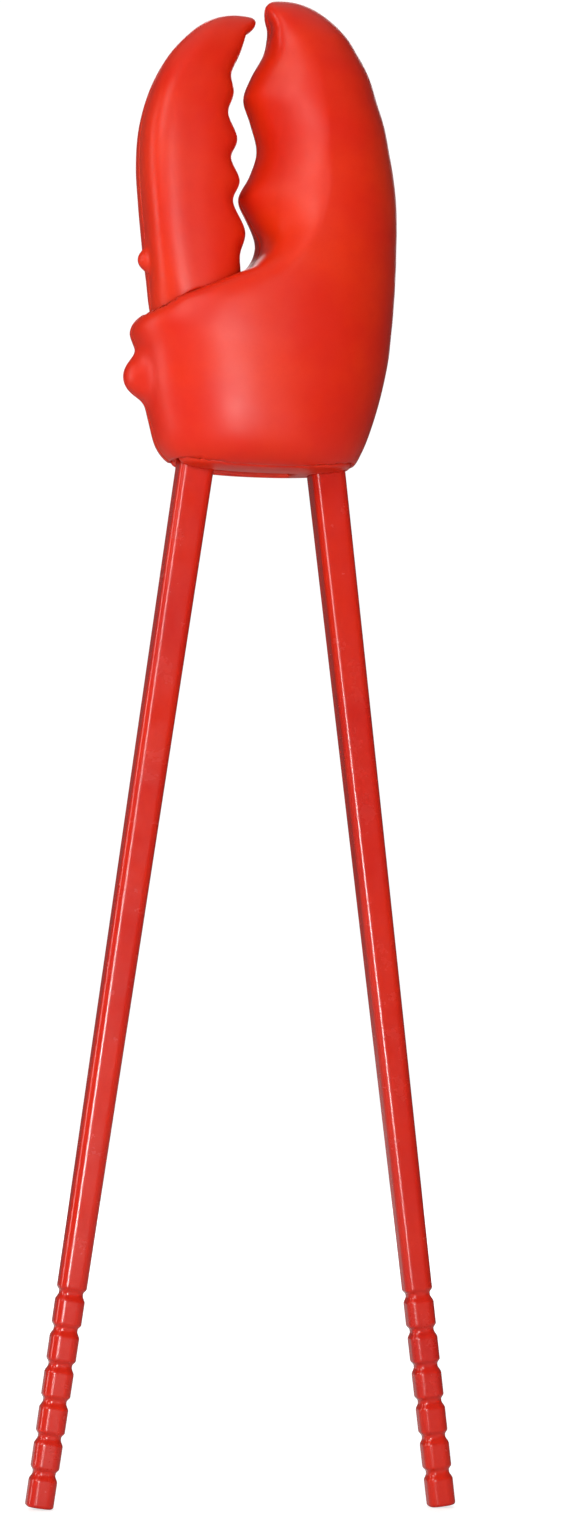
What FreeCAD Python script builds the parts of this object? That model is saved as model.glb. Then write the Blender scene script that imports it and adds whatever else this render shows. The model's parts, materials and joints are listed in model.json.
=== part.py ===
import FreeCAD, Part
import math
import os

# Claw-headed chopsticks, in millimetres.
# +Z is up, +X is towards the fixed finger of the claw, +Y is towards the back.
# The origin is midway between the two stick tips, on the surface they stand on.

Vec = FreeCAD.Vector
ALONG_Y = Vec(0, 1, 0)

# ---------------------------------------------------------------- driving dimensions
WALL = 2.0                      # palm and fixed finger wall
FINGER_WALL = 1.7               # movable finger wall
RIGHT_POWER = 2.3               # fullness of the sections' right side
SECTION_STEPS = 14              # points on half a section
ADDED_SECTIONS = 1              # smooth sections added between two given ones

# Sticks: rounded squares that taper to the tip.
TIP_SPREAD = 32.8               # centre of each tip from the middle
STICK_LEAN = 7.6                # degrees from upright
STICK_LENGTH = 186.0
STICK_SIDE_TOP = 5.7
STICK_SIDE_GRIP = 4.55
STICK_SIDE_TIP = 4.35
STICK_CORNER_TOP = 1.0
STICK_CORNER_GRIP = 1.3
GRIP_LENGTH = 42.0              # length of the round-cornered grip end
GROOVE_COUNT = 6
GROOVE_PITCH = 5.75
GROOVE_FIRST = 5.6              # middle of the lowest groove, from the tip
GROOVE_DEPTH = 0.4
GROOVE_UPPER = 0.9              # steep flank above the groove's lowest line
GROOVE_LOWER = 1.3              # gentler flank below it
TIP_CHAMFER = 0.5

# Pivot of the movable lever.
PIVOT = Vec(-11.0, 0, 189.5)
PIN_RADIUS = 1.5
PIN_HALF_LENGTH = 9.5
RUNNING_GAP = 0.05
PRESS_GAP = 0.03
HUB_RADIUS = 5.0
HUB_HALF = 4.5
WASHER_THICKNESS = 0.5
FACE_GAP = 0.1
PIVOT_BOSS_RADIUS = 2.6
BOSS_FACE = HUB_HALF + WASHER_THICKNESS + 2 * FACE_GAP

# Torsion spring on the front pivot boss.
WIRE_RADIUS = 0.35
LEG_RADIUS = 0.3
COIL_RADIUS = 3.1               # middle of the wire
COIL_REAR = -5.4
COIL_FRONT = -7.9
SPRING_POST = Vec(1.5, 0, 194.2)
SPRING_POST_END = -6.6
SPRING_POST_RADIUS = 1.2

# Stick sockets.
SOCKET_HALF_X = 3.95
SOCKET_HALF_Y = 4.5
SOCKET_START = 171.0            # along the stick, from its tip
SOCKET_END = 188.0
SOCKET_GAP = 0.06
STICK_PIN_RADIUS = 0.8
STICK_PIN_PLACE = 179.0         # along the stick, from its tip

# Base plate.
BASE_HALF_X = 14.4
BASE_HALF_Y = 7.6
BASE_CORNER = 6.5
BASE_TOP = 167.8
BASE_LOW = 165.0                # lowest point of the domed underside
BASE_CROWN_X = 68.1             # its radius from left to right
BASE_CROWN_Y = 35.9             # and from front to back
BASE_SEAT_GAP = 0.05
SLOT_LEFT = -13.9
SLOT_RIGHT = 5.2
SLOT_HALF_Y = 3.1
STICK_HOLE_GAP = 0.25

# Screws: x, z, seat of the head, reach of the shank (both along Y).
PALM_SCREWS = ((8.0, 188.6, 8.6, -10.2), (12.5, 208.0, 7.6, -7.5), (7.6, 227.0, 4.6, -5.6))
PALM_BOSS_RADIUS = 4.0
PALM_HEAD_RADIUS = 2.3
PALM_SHANK_RADIUS = 1.1
PALM_HEAD_HEIGHT = 1.5
FINGER_SCREWS = ((-12.4, 202.5, 4.3, -5.2), (-12.6, 215.5, 4.3, -5.2))
FINGER_BOSS_RADIUS = 3.0
FINGER_HEAD_RADIUS = 1.8
FINGER_SHANK_RADIUS = 0.9
FINGER_HEAD_HEIGHT = 1.2
COUNTERBORE_GAP = 0.3
LUG_HALF = 6.0                  # the fixed socket's screw lug
LUG_RADIUS = 3.6
TONGUE_HALF = 2.6               # the lever's tongue inside the movable finger
CLEAR_RADIUS = 8.7              # room round the pivot for the finger's neck
CLEAR_HALF = 8.4
THIN_WALL = 1.1                 # what that room leaves of the palm's wall
SEAT_GAP = 0.02                 # between clamped faces

# Knob moulded on the palm's left side.
KNOB_CENTRE = Vec(-19.1, 0, 180.3)
KNOB_RADIUS = 3.2

# Egg-shaped sections: height, left edge, widest place, right edge, half depth,
# and the fullness of the left side (2 is an ellipse, more is squarer).
HEAD_SECTIONS = (
    (165.1, -7.5, 0.0, 7.5, 4.6, 2.3),
    (165.6, -12.4, 0.0, 12.3, 7.4, 2.3),
    (166.7, -15.0, 0.0, 14.8, 9.5, 2.3),
    (169.0, -16.9, 0.0, 16.2, 11.2, 2.3),
    (173.0, -18.4, 0.0, 17.7, 12.3, 2.3),
    (178.0, -19.6, 0.0, 19.1, 12.8, 2.3),
    (183.5, -20.2, 0.0, 20.2, 13.1, 2.3),
    (187.5, -21.2, 0.2, 20.7, 13.3, 2.3),
    (191.0, -20.6, 0.8, 20.9, 13.3, 2.3),
    (195.0, -19.0, 1.8, 21.1, 13.2, 2.3),
    (198.0, -15.2, 3.2, 21.2, 13.0, 2.2),
    (201.0, -10.0, 4.6, 21.2, 12.7, 2.0),
    (204.5, -6.8, 5.8, 21.2, 12.4, 1.8),
    (211.0, -5.2, 7.0, 20.9, 11.8, 1.6),
    (220.0, -4.8, 7.4, 19.1, 10.4, 1.6),
    (229.0, -4.4, 6.4, 16.1, 8.3, 1.7),
    (235.5, -2.8, 4.6, 12.3, 5.9, 1.9),
    (239.0, -2.0, 3.1, 8.3, 3.6, 2.0),
    (240.4, -0.4, 2.8, 5.2, 1.5, 2.0),
)
FINGER_SECTIONS = (
    (187.0, -17.1, -11.0, -4.9, 5.9, 2.5),
    (191.0, -18.1, -11.2, -3.9, 7.2, 2.5),
    (195.5, -18.6, -11.6, -2.9, 7.6, 2.6),
    (199.3, -19.2, -12.0, -2.2, 7.8, 2.7),
    (203.0, -19.8, -12.4, -2.0, 7.9, 2.8),
    (208.0, -20.4, -12.7, -2.4, 7.9, 2.8),
    (214.0, -20.9, -12.9, -2.9, 7.8, 2.8),
    (220.0, -20.5, -13.0, -3.6, 7.5, 2.8),
    (226.0, -19.0, -12.4, -4.2, 6.8, 2.7),
    (231.0, -16.5, -10.8, -3.4, 5.8, 2.5),
    (234.6, -13.3, -8.8, -2.0, 4.3, 2.3),
    (237.2, -9.4, -6.6, -1.3, 2.3, 2.1),
    (238.0, -7.0, -5.4, -3.8, 1.0, 2.0),
)
# Toothed edges, from the notch above the palm's mouth to the tip.
FIXED_EDGE = (
    (-3.2, 197.4), (-0.9, 200.4), (-0.8, 203.0), (-3.0, 205.8), (-4.5, 209.0), (-2.4, 213.2),
    (-1.4, 217.1), (-2.9, 221.8), (-4.2, 225.0), (-3.0, 228.2), (-0.6, 232.4), (0.0, 236.0),
    (-1.0, 238.8), (-1.6, 246.0),
)
FINGER_EDGE = (
    (-4.4, 182.0), (-4.2, 190.0), (-4.2, 196.0), (-4.6, 199.6), (-3.7, 203.2), (-5.7, 208.2),
    (-4.7, 211.5), (-6.2, 215.0), (-5.0, 218.2), (-6.9, 222.0), (-6.0, 225.2), (-6.9, 228.2),
    (-5.1, 232.2), (-3.8, 235.2), (-2.0, 236.6), (-0.6, 242.0),
)
MOUTH_RIM = ((-26.0, 186.6), (-20.0, 189.6), (-16.0, 191.5), (-12.5, 192.9), (-7.0, 195.4))
TOOTH_WALL_FLOOR = 197.5
# The lever's tongue, seen from the front.
TONGUE = (
    (-15.4, 190.0), (-16.2, 199.0), (-16.8, 211.0), (-15.2, 220.0), (-10.6, 220.5),
    (-8.8, 211.0), (-7.9, 199.0), (-6.6, 190.0),
)

FAR = 40.0                      # further out than any part of the head


# ---------------------------------------------------------------- helpers
def egg_point(angle, crest, left, right, depth, left_power):
    """A point on the front half of a section; angle 0 is its right edge."""
    across = math.cos(angle)
    reach = right - crest if across > 0 else crest - left
    bend = 2.0 / (RIGHT_POWER if across > 0 else left_power)
    x = crest + math.copysign(reach * abs(across) ** bend, across)
    y = -depth * abs(math.sin(angle)) ** bend
    return x, y


def half_section(z, left, crest, right, depth, left_power, closing):
    """Front half of a section, closed by straight lines at y = closing."""
    points = []
    for step in range(SECTION_STEPS + 1):
        angle = math.pi * step / SECTION_STEPS
        x, y = egg_point(angle, crest, left, right, depth, left_power)
        points.append(Vec(x, y, z))
    points[0] = Vec(right, 0, z)
    points[-1] = Vec(left, 0, z)
    curve = Part.BSplineCurve()
    shares = [step / SECTION_STEPS for step in range(SECTION_STEPS + 1)]
    curve.interpolate(Points=points, Parameters=shares,
                      InitialTangent=Vec(0, -1, 0), FinalTangent=Vec(0, 1, 0))
    ends = [Vec(left, 0, z), Vec(right, 0, z)]
    if closing > 0:
        ends = [ends[0], Vec(left, closing, z), Vec(right, closing, z), ends[1]]
    edges = [curve.toShape()]
    for start, stop in zip(ends, ends[1:]):
        edges.append(Part.makeLine(start, stop))
    return Part.Wire(edges)


def between(before, low, high, after, part):
    """Catmull-Rom value a part of the way from low to high."""
    slope_low = (high - before) / 2
    slope_high = (after - low) / 2
    rise = high - low
    return (low + slope_low * part + (3 * rise - 2 * slope_low - slope_high) * part ** 2
            + (slope_low + slope_high - 2 * rise) * part ** 3)


def denser(sections):
    """The same sections with smooth ones added between them."""
    padded = sections[:1] + sections + sections[-1:]
    dense = []
    for place in range(len(sections) - 1):
        four = padded[place:place + 4]
        for step in range(ADDED_SECTIONS + 1):
            part = step / (ADDED_SECTIONS + 1)
            dense.append(tuple(between(*column, part) for column in zip(*four)))
    return dense + [sections[-1]]


def front_half(sections, inset=0.0, closing=0.0):
    """Loft through the front halves of the sections, shrunk by inset."""
    wires = []
    for z, left, crest, right, depth, power in denser(sections):
        wires.append(half_section(z, left + inset, crest, right - inset, depth - inset,
                                  power, closing))
    return Part.makeLoft(wires, True, False)


def mirrored(shape):
    """The same shape on the other side of the parting plane."""
    return shape.mirror(Vec(0, 0, 0), ALONG_Y)


def rod(x, z, radius, start, stop):
    """Cylinder along Y, from y = start to y = stop."""
    return Part.makeCylinder(radius, stop - start, Vec(x, start, z), ALONG_Y)


def spline_edge(points, shift=0.0):
    """A smooth edge through (x, z) points, moved right by shift."""
    curve = Part.BSplineCurve()
    curve.interpolate([Vec(x + shift, -FAR, z) for x, z in points])
    return curve.toShape()


def prism(edges):
    """Closed outline at y = -FAR, pushed through to y = FAR."""
    return Part.Face(Part.Wire(edges)).extrude(Vec(0, 2 * FAR, 0))


def beside(points, side, shift=0.0, lower=()):
    """Everything on one side of a smooth edge: side is the x of the far side."""
    first_x, first_z = points[0]
    last_x, last_z = points[-1]
    corners = [Vec(last_x + shift, -FAR, last_z), Vec(side, -FAR, last_z)]
    if lower:
        corners += [Vec(x, -FAR, z) for x, z in lower]
    else:
        corners.append(Vec(side, -FAR, first_z))
    corners.append(Vec(first_x + shift, -FAR, first_z))
    edges = [spline_edge(points, shift)]
    for start, stop in zip(corners, corners[1:]):
        edges.append(Part.makeLine(start, stop))
    return prism(edges)


def along_stick(shape, side):
    """From a stick's own frame, tip at the origin, to its place; side is -1 left, 1 right."""
    placed = shape.copy()
    placed.rotate(Vec(0, 0, 0), ALONG_Y, -side * STICK_LEAN)
    lift = (STICK_SIDE_TIP / 2 - TIP_CHAMFER) * math.sin(math.radians(STICK_LEAN))
    placed.translate(Vec(side * TIP_SPREAD, 0, lift))
    return placed


def rounded_square(side, corner, z):
    """Square with round corners, centred on the stick's axis."""
    half = side / 2
    flat = half - corner
    diagonal = flat + corner * math.sqrt(0.5)
    edges = []
    for turn in range(4):
        cos, sin = round(math.cos(turn * math.pi / 2)), round(math.sin(turn * math.pi / 2))

        def at(x, y):
            return Vec(x * cos - y * sin, x * sin + y * cos, z)
        edges.append(Part.makeLine(at(half, -flat), at(half, flat)))
        edges.append(Part.Arc(at(half, flat), at(diagonal, diagonal), at(flat, half)).toShape())
    return Part.Wire(edges)


def stick_size(height):
    """Side and corner radius of the stick at a distance from its tip."""
    if height < GRIP_LENGTH:
        part = height / GRIP_LENGTH
        side = STICK_SIDE_TIP + (STICK_SIDE_GRIP - STICK_SIDE_TIP) * part
        return side, STICK_CORNER_GRIP
    part = (height - GRIP_LENGTH) / (STICK_LENGTH - GRIP_LENGTH)
    side = STICK_SIDE_GRIP + (STICK_SIDE_TOP - STICK_SIDE_GRIP) * part
    return side, STICK_CORNER_GRIP + (STICK_CORNER_TOP - STICK_CORNER_GRIP) * part


def stick_prism(start, stop, gap):
    """The stick's shape grown by gap, for the holes it goes through."""
    wires = []
    for height in (start, stop):
        side, corner = stick_size(height)
        wires.append(rounded_square(side + 2 * gap, corner + gap, height))
    return Part.makeLoft(wires, True, True)


# ---------------------------------------------------------------- sticks
def stick():
    """A whole stick in its own frame, with ring grooves near the tip."""
    levels = [(0.0, TIP_CHAMFER), (TIP_CHAMFER, 0.0)]
    for groove in range(GROOVE_COUNT):
        middle = GROOVE_FIRST + groove * GROOVE_PITCH
        levels += [(middle - GROOVE_LOWER, 0.0), (middle, GROOVE_DEPTH), (middle + GROOVE_UPPER, 0.0)]
    levels += [(GRIP_LENGTH, 0.0), (STICK_LENGTH, 0.0)]
    wires = []
    for height, depth in levels:
        side, corner = stick_size(height)
        wires.append(rounded_square(side - 2 * depth, corner, height))
    return Part.makeLoft(wires, True, True)


def socket_block():
    """Solid block round the upper end of a stick, in the stick's frame."""
    block = Part.makeBox(2 * SOCKET_HALF_X, 2 * SOCKET_HALF_Y, SOCKET_END - SOCKET_START,
                         Vec(-SOCKET_HALF_X, -SOCKET_HALF_Y, SOCKET_START))
    upright = [edge for edge in block.Edges if abs(edge.tangentAt(0).z) > 0.9]
    return block.makeFillet(1.2, upright)


def stick_pin_rod(radius, half_length):
    """Cross pin through a socket and its stick, in the stick's frame."""
    return Part.makeCylinder(radius, 2 * half_length, Vec(0, -half_length, STICK_PIN_PLACE), ALONG_Y)


def drilled_stick(side):
    hole = stick_pin_rod(STICK_PIN_RADIUS + PRESS_GAP, FAR)
    return along_stick(stick().cut(hole), side)


# ---------------------------------------------------------------- palm and fixed finger
def mouth():
    """What is cut away above the palm's rim and left of the fixed finger."""
    return beside(FIXED_EDGE, -FAR, lower=((-FAR, MOUTH_RIM[0][1]),) + MOUTH_RIM)


def palm_half():
    """Front half of the palm and fixed finger, with the mouth cut and the knob on."""
    knob = Part.makeSphere(KNOB_RADIUS)
    knob.rotate(Vec(0, 0, 0), ALONG_Y, 90)
    knob.translate(KNOB_CENTRE)
    front_space = Part.makeBox(2 * FAR, FAR, 300, Vec(-FAR, -FAR, 0))
    return front_half(HEAD_SECTIONS).fuse(knob.common(front_space)).cut(mouth())


def palm_cavity():
    """Room inside the front half, left of the boss walls."""
    inner = front_half(HEAD_SECTIONS[2:-1], WALL, 1.0)
    tooth_wall = FIXED_EDGE[0][0] + WALL
    wall_edge = ((tooth_wall - WALL, TOOTH_WALL_FLOOR),) + FIXED_EDGE[1:]
    room = inner.cut(beside(wall_edge, -FAR, WALL))
    neck = rod(PIVOT.x, PIVOT.z, CLEAR_RADIUS, -CLEAR_HALF, 1.0)
    return room.fuse(neck.common(front_half(HEAD_SECTIONS[2:-1], THIN_WALL, 1.0)))


def base_block(gap, low):
    """Round-cornered block of the base plate's outline, shrunk by gap."""
    half_x, half_y = BASE_HALF_X - gap, BASE_HALF_Y - gap
    block = Part.makeBox(2 * half_x, 2 * half_y, BASE_TOP - low, Vec(-half_x, -half_y, low))
    upright = [edge for edge in block.Edges if abs(edge.tangentAt(0).z) > 0.9]
    return block.makeFillet(BASE_CORNER - gap, upright)


def palm_shell(is_front):
    """One palm shell, with its pivot boss, screw bosses and spring post."""
    outer = palm_half()
    lug_x, lug_z = PALM_SCREWS[0][0], PALM_SCREWS[0][1]
    bosses = [rod(PIVOT.x, PIVOT.z, PIVOT_BOSS_RADIUS, -FAR, -BOSS_FACE)]
    bosses.append(rod(lug_x, lug_z, PALM_BOSS_RADIUS, -FAR, -LUG_HALF - SEAT_GAP))
    for x, z, seat, reach in PALM_SCREWS[1:]:
        bosses.append(rod(x, z, PALM_BOSS_RADIUS, -FAR, 0.0))
    if is_front:
        bosses.append(rod(SPRING_POST.x, SPRING_POST.z, SPRING_POST_RADIUS, -FAR,
                          SPRING_POST_END))
    room = palm_cavity()
    for boss in bosses:
        room = room.cut(boss)
    shell = outer.cut(room)
    pin_hole = rod(PIVOT.x, PIVOT.z, PIN_RADIUS + PRESS_GAP, -PIN_HALF_LENGTH - 0.2, FAR)
    shell = shell.cut(pin_hole).cut(base_block(0.0, 150.0))
    if not is_front:
        shell = mirrored(shell)
    for x, z, seat, reach in PALM_SCREWS:
        shell = shell.cut(rod(x, z, PALM_SHANK_RADIUS + RUNNING_GAP, reach - 0.5, seat + 1))
        shell = shell.cut(rod(x, z, PALM_HEAD_RADIUS + COUNTERBORE_GAP, seat, FAR))
    return shell


def base_plate():
    """Insert that closes the palm's underside, slotted for the moving stick."""
    crown_along_x = rod(0, BASE_LOW + BASE_CROWN_X, BASE_CROWN_X, -FAR, FAR)
    crown_along_y = Part.makeCylinder(BASE_CROWN_Y, 2 * FAR, Vec(-FAR, 0, BASE_LOW + BASE_CROWN_Y),
                                      Vec(1, 0, 0))
    plate = base_block(BASE_SEAT_GAP, 160.0).common(crown_along_x).common(crown_along_y)
    slot = Part.makeBox(SLOT_RIGHT - SLOT_LEFT, 2 * SLOT_HALF_Y, 20,
                        Vec(SLOT_LEFT, -SLOT_HALF_Y, 155))
    hole = along_stick(stick_prism(150, STICK_LENGTH, STICK_HOLE_GAP), 1)
    return plate.cut(slot).cut(hole)


def screws(places, head_radius, head_height, shank_radius):
    """Pan-head screws driven from the back, with a cross recess."""
    made = []
    for x, z, seat, reach in places:
        head = rod(x, z, head_radius, seat, seat + head_height)
        shank = rod(x, z, shank_radius, reach, seat)
        slot_size = 1.3 * head_radius
        for wide, tall in ((slot_size, 0.5), (0.5, slot_size)):
            recess = Part.makeBox(wide, 0.8, tall,
                                  Vec(x - wide / 2, seat + head_height - 0.7, z - tall / 2))
            head = head.cut(recess)
        made.append(head.fuse(shank))
    return Part.makeCompound(made)


# ---------------------------------------------------------------- movable finger and lever
def finger_shell(is_front):
    """One half of the movable finger, open at the bottom round the lever's hub."""
    outer = front_half(FINGER_SECTIONS).cut(beside(FINGER_EDGE, FAR))
    room = front_half(FINGER_SECTIONS[:-2], FINGER_WALL, 1.0)
    room = room.cut(beside(FINGER_EDGE, FAR, -FINGER_WALL))
    for x, z, seat, reach in FINGER_SCREWS:
        room = room.cut(rod(x, z, FINGER_BOSS_RADIUS, -FAR, -TONGUE_HALF - SEAT_GAP))
    shell = outer.cut(room)
    shell = shell.cut(rod(PIVOT.x, PIVOT.z, HUB_RADIUS + 0.4, -HUB_HALF - 0.4, 1.0))
    shell = shell.cut(rod(PIVOT.x, PIVOT.z, COIL_RADIUS + WIRE_RADIUS + 0.6, -FAR, 0.0))
    if not is_front:
        shell = mirrored(shell)
    for x, z, seat, reach in FINGER_SCREWS:
        shell = shell.cut(rod(x, z, FINGER_SHANK_RADIUS + RUNNING_GAP, reach - 0.4, seat + 1))
        shell = shell.cut(rod(x, z, FINGER_HEAD_RADIUS + COUNTERBORE_GAP, seat, FAR))
    return shell


def lever_arm():
    """Hub on the pivot pin, socket for the left stick, tongue for the finger."""
    outline = [Vec(x, -TONGUE_HALF, z) for x, z in TONGUE]
    tongue = Part.Face(Part.makePolygon(outline + outline[:1])).extrude(Vec(0, 2 * TONGUE_HALF, 0))
    hub = rod(PIVOT.x, PIVOT.z, HUB_RADIUS, -HUB_HALF, HUB_HALF)
    arm = hub.fuse(tongue).fuse(along_stick(socket_block(), -1))
    arm = arm.cut(along_stick(stick_prism(150, STICK_LENGTH + 0.1, SOCKET_GAP), -1))
    arm = arm.cut(along_stick(stick_pin_rod(STICK_PIN_RADIUS + PRESS_GAP, FAR), -1))
    arm = arm.cut(rod(PIVOT.x, PIVOT.z, PIN_RADIUS + RUNNING_GAP, -FAR, FAR))
    for x, z, seat, reach in FINGER_SCREWS:
        arm = arm.cut(rod(x, z, FINGER_SHANK_RADIUS + RUNNING_GAP, -FAR, FAR))
    return arm


def fixed_socket():
    """Block that holds the right stick, with a lug clamped by the lowest palm screw."""
    lug_x, lug_z = PALM_SCREWS[0][0], PALM_SCREWS[0][1]
    block = along_stick(socket_block(), 1).fuse(rod(lug_x, lug_z, LUG_RADIUS, -LUG_HALF, LUG_HALF))
    block = block.cut(along_stick(stick_prism(150, STICK_LENGTH + 0.1, SOCKET_GAP), 1))
    block = block.cut(along_stick(stick_pin_rod(STICK_PIN_RADIUS + PRESS_GAP, FAR), 1))
    return block.cut(rod(lug_x, lug_z, PALM_SHANK_RADIUS + RUNNING_GAP, -FAR, FAR))


def washers():
    """A thin washer on the pin at each end of the hub."""
    low = HUB_HALF + FACE_GAP
    ring = rod(PIVOT.x, PIVOT.z, 3.0, low, low + WASHER_THICKNESS)
    ring = ring.cut(rod(PIVOT.x, PIVOT.z, PIN_RADIUS + RUNNING_GAP, -FAR, FAR))
    return Part.makeCompound([ring, mirrored(ring)])


def spring():
    """Coil on the front boss, one leg under the post and one beside the lever."""
    coil = rod(PIVOT.x, PIVOT.z, COIL_RADIUS + WIRE_RADIUS, COIL_FRONT, COIL_REAR)
    coil = coil.cut(rod(PIVOT.x, PIVOT.z, COIL_RADIUS - WIRE_RADIUS, -FAR, FAR))
    front_y = COIL_FRONT + WIRE_RADIUS
    rear_y = COIL_REAR - WIRE_RADIUS
    fixed_leg = Part.makeCylinder(LEG_RADIUS, SPRING_POST.x + 2.5 - PIVOT.x,
                                  Vec(PIVOT.x, front_y, PIVOT.z + COIL_RADIUS), Vec(1, 0, 0))
    start = Vec(PIVOT.x + COIL_RADIUS, rear_y, PIVOT.z)
    bend = Vec(-3.6, rear_y, 180.0)
    down = bend - start
    moving_leg = Part.makeCylinder(LEG_RADIUS, down.Length + LEG_RADIUS, start, down)
    hook = Part.makeCylinder(LEG_RADIUS * 0.9, 4.0, bend, ALONG_Y)
    return coil.fuse(fixed_leg).fuse(moving_leg).fuse(hook)


def main():
    os.makedirs("parts", exist_ok=True)
    pin_half = SOCKET_HALF_Y - 0.1
    pin_rod = stick_pin_rod(STICK_PIN_RADIUS, pin_half)
    parts = {
        "palm_front_shell": palm_shell(True),
        "palm_back_shell": palm_shell(False),
        "base_plate": base_plate(),
        "fixed_stick_socket": fixed_socket(),
        "right_stick": drilled_stick(1),
        "right_stick_pin": along_stick(pin_rod, 1),
        "pivot_pin": rod(PIVOT.x, PIVOT.z, PIN_RADIUS, -PIN_HALF_LENGTH, PIN_HALF_LENGTH),
        "pivot_washers": washers(),
        "torsion_spring": spring(),
        "palm_screws": screws(PALM_SCREWS, PALM_HEAD_RADIUS, PALM_HEAD_HEIGHT, PALM_SHANK_RADIUS),
        "lever_arm": lever_arm(),
        "finger_front_shell": finger_shell(True),
        "finger_back_shell": finger_shell(False),
        "finger_screws": screws(FINGER_SCREWS, FINGER_HEAD_RADIUS, FINGER_HEAD_HEIGHT,
                                FINGER_SHANK_RADIUS),
        "left_stick": drilled_stick(-1),
        "left_stick_pin": along_stick(pin_rod, -1),
    }
    for node, shape in parts.items():
        shape.exportStep("parts/" + node + ".step")
        print(node, "solids", len(shape.Solids), "valid", shape.isValid(),
              "volume", round(shape.Volume, 1))


main()
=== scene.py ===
import json
import math

import bmesh
import bpy
import numpy as np
from mathutils import Matrix, Vector


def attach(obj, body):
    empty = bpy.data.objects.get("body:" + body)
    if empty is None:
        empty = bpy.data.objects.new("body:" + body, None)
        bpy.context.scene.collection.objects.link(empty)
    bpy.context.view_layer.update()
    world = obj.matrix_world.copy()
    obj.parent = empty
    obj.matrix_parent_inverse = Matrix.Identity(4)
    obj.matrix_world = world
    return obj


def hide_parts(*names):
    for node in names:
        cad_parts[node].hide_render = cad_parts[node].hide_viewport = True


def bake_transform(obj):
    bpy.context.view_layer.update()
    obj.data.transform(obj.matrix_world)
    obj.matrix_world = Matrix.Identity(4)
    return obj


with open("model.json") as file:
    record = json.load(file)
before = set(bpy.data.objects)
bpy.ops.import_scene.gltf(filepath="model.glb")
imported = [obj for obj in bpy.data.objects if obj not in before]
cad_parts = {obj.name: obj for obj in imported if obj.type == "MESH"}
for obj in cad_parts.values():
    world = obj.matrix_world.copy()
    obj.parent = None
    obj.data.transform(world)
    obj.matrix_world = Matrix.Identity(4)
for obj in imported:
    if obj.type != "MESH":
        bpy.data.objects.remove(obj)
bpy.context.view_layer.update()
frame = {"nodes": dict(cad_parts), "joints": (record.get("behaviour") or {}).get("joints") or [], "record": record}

# Claw-headed chopsticks. Shapes are worked out in millimetres and built in metres.
MM = 0.001
HEAD = "head"
LEVER = "claw_lever"
PIVOT = [value / MM for value in frame["joints"][0]["pos_m"]]

# ------------------------------------------------------------------ outlines, millimetres
WALL = 2.0
FINGER_WALL = 1.7
HEAD_POWER = 2.3        # fullness of the palm's right side: 2 is an ellipse
FINGER_POWER = 2.5
BASE_POWER = 3.2
# height, left edge, widest place, right edge, half depth, fullness of the left side
HEAD_ROWS = (
    (164.9, 0.0, 0.0, 0.0, 0.0, 2.3),
    (165.1, -7.5, 0.0, 7.5, 4.6, 2.3),
    (165.6, -12.4, 0.0, 12.3, 7.4, 2.3),
    (166.7, -15.0, 0.0, 14.8, 9.5, 2.3),
    (169.0, -16.9, 0.0, 16.2, 11.2, 2.3),
    (173.0, -18.1, 0.0, 17.7, 12.3, 2.3),
    (178.0, -19.3, 0.0, 19.1, 12.8, 2.3),
    (183.5, -20.2, 0.0, 20.2, 13.1, 2.3),
    (187.5, -21.5, 0.2, 20.6, 13.3, 2.3),
    (191.0, -20.6, 0.8, 20.9, 13.3, 2.3),
    (193.0, -18.4, 1.4, 21.0, 13.25, 2.25),
    (195.0, -14.2, 2.4, 21.1, 13.2, 2.1),
    (197.0, -8.6, 3.2, 21.15, 13.1, 1.9),
    (199.0, -4.8, 4.2, 21.2, 13.0, 1.7),
    (201.5, -3.3, 5.4, 21.2, 12.7, 1.55),
    (204.5, -3.6, 6.8, 21.2, 12.4, 1.45),
    (209.0, -5.7, 8.0, 21.0, 12.0, 1.4),
    (213.0, -4.2, 8.1, 20.5, 11.5, 1.4),
    (217.0, -3.3, 8.0, 19.75, 10.8, 1.4),
    (221.0, -4.2, 7.9, 18.9, 10.2, 1.4),
    (225.0, -5.4, 7.5, 17.6, 9.3, 1.45),
    (229.0, -4.2, 6.9, 16.3, 8.3, 1.5),
    (232.5, -2.2, 5.9, 14.4, 7.1, 1.7),
    (235.5, -1.9, 5.0, 12.4, 5.9, 1.85),
    (239.0, -2.0, 3.1, 8.3, 3.6, 2.0),
    (240.4, -0.4, 2.8, 5.2, 1.5, 2.0),
    (240.8, 2.2, 2.2, 2.2, 0.0, 2.0),
)
FINGER_ROWS = (
    (184.5, -11.0, -11.0, -11.0, 0.0, 2.5),
    (185.0, -15.0, -11.0, -7.0, 3.4, 2.5),
    (187.0, -17.3, -11.0, -4.9, 5.9, 2.5),
    (191.0, -18.3, -11.2, -3.9, 7.2, 2.5),
    (195.5, -18.7, -11.6, -2.9, 7.6, 3.2),
    (199.3, -19.2, -12.0, -2.2, 7.8, 3.4),
    (203.0, -19.6, -12.4, -2.0, 7.9, 3.6),
    (208.0, -20.15, -12.7, -2.4, 7.9, 3.6),
    (214.0, -20.6, -12.9, -2.9, 7.8, 3.6),
    (220.0, -20.25, -13.0, -3.6, 7.5, 3.6),
    (226.0, -18.7, -12.4, -4.2, 6.8, 3.4),
    (231.0, -16.2, -10.8, -3.4, 5.8, 2.5),
    (234.6, -13.1, -8.8, -2.0, 4.3, 2.3),
    (237.2, -9.4, -6.6, -1.3, 2.3, 2.1),
    (238.1, -5.0, -5.0, -5.0, 0.0, 2.0),
)
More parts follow.
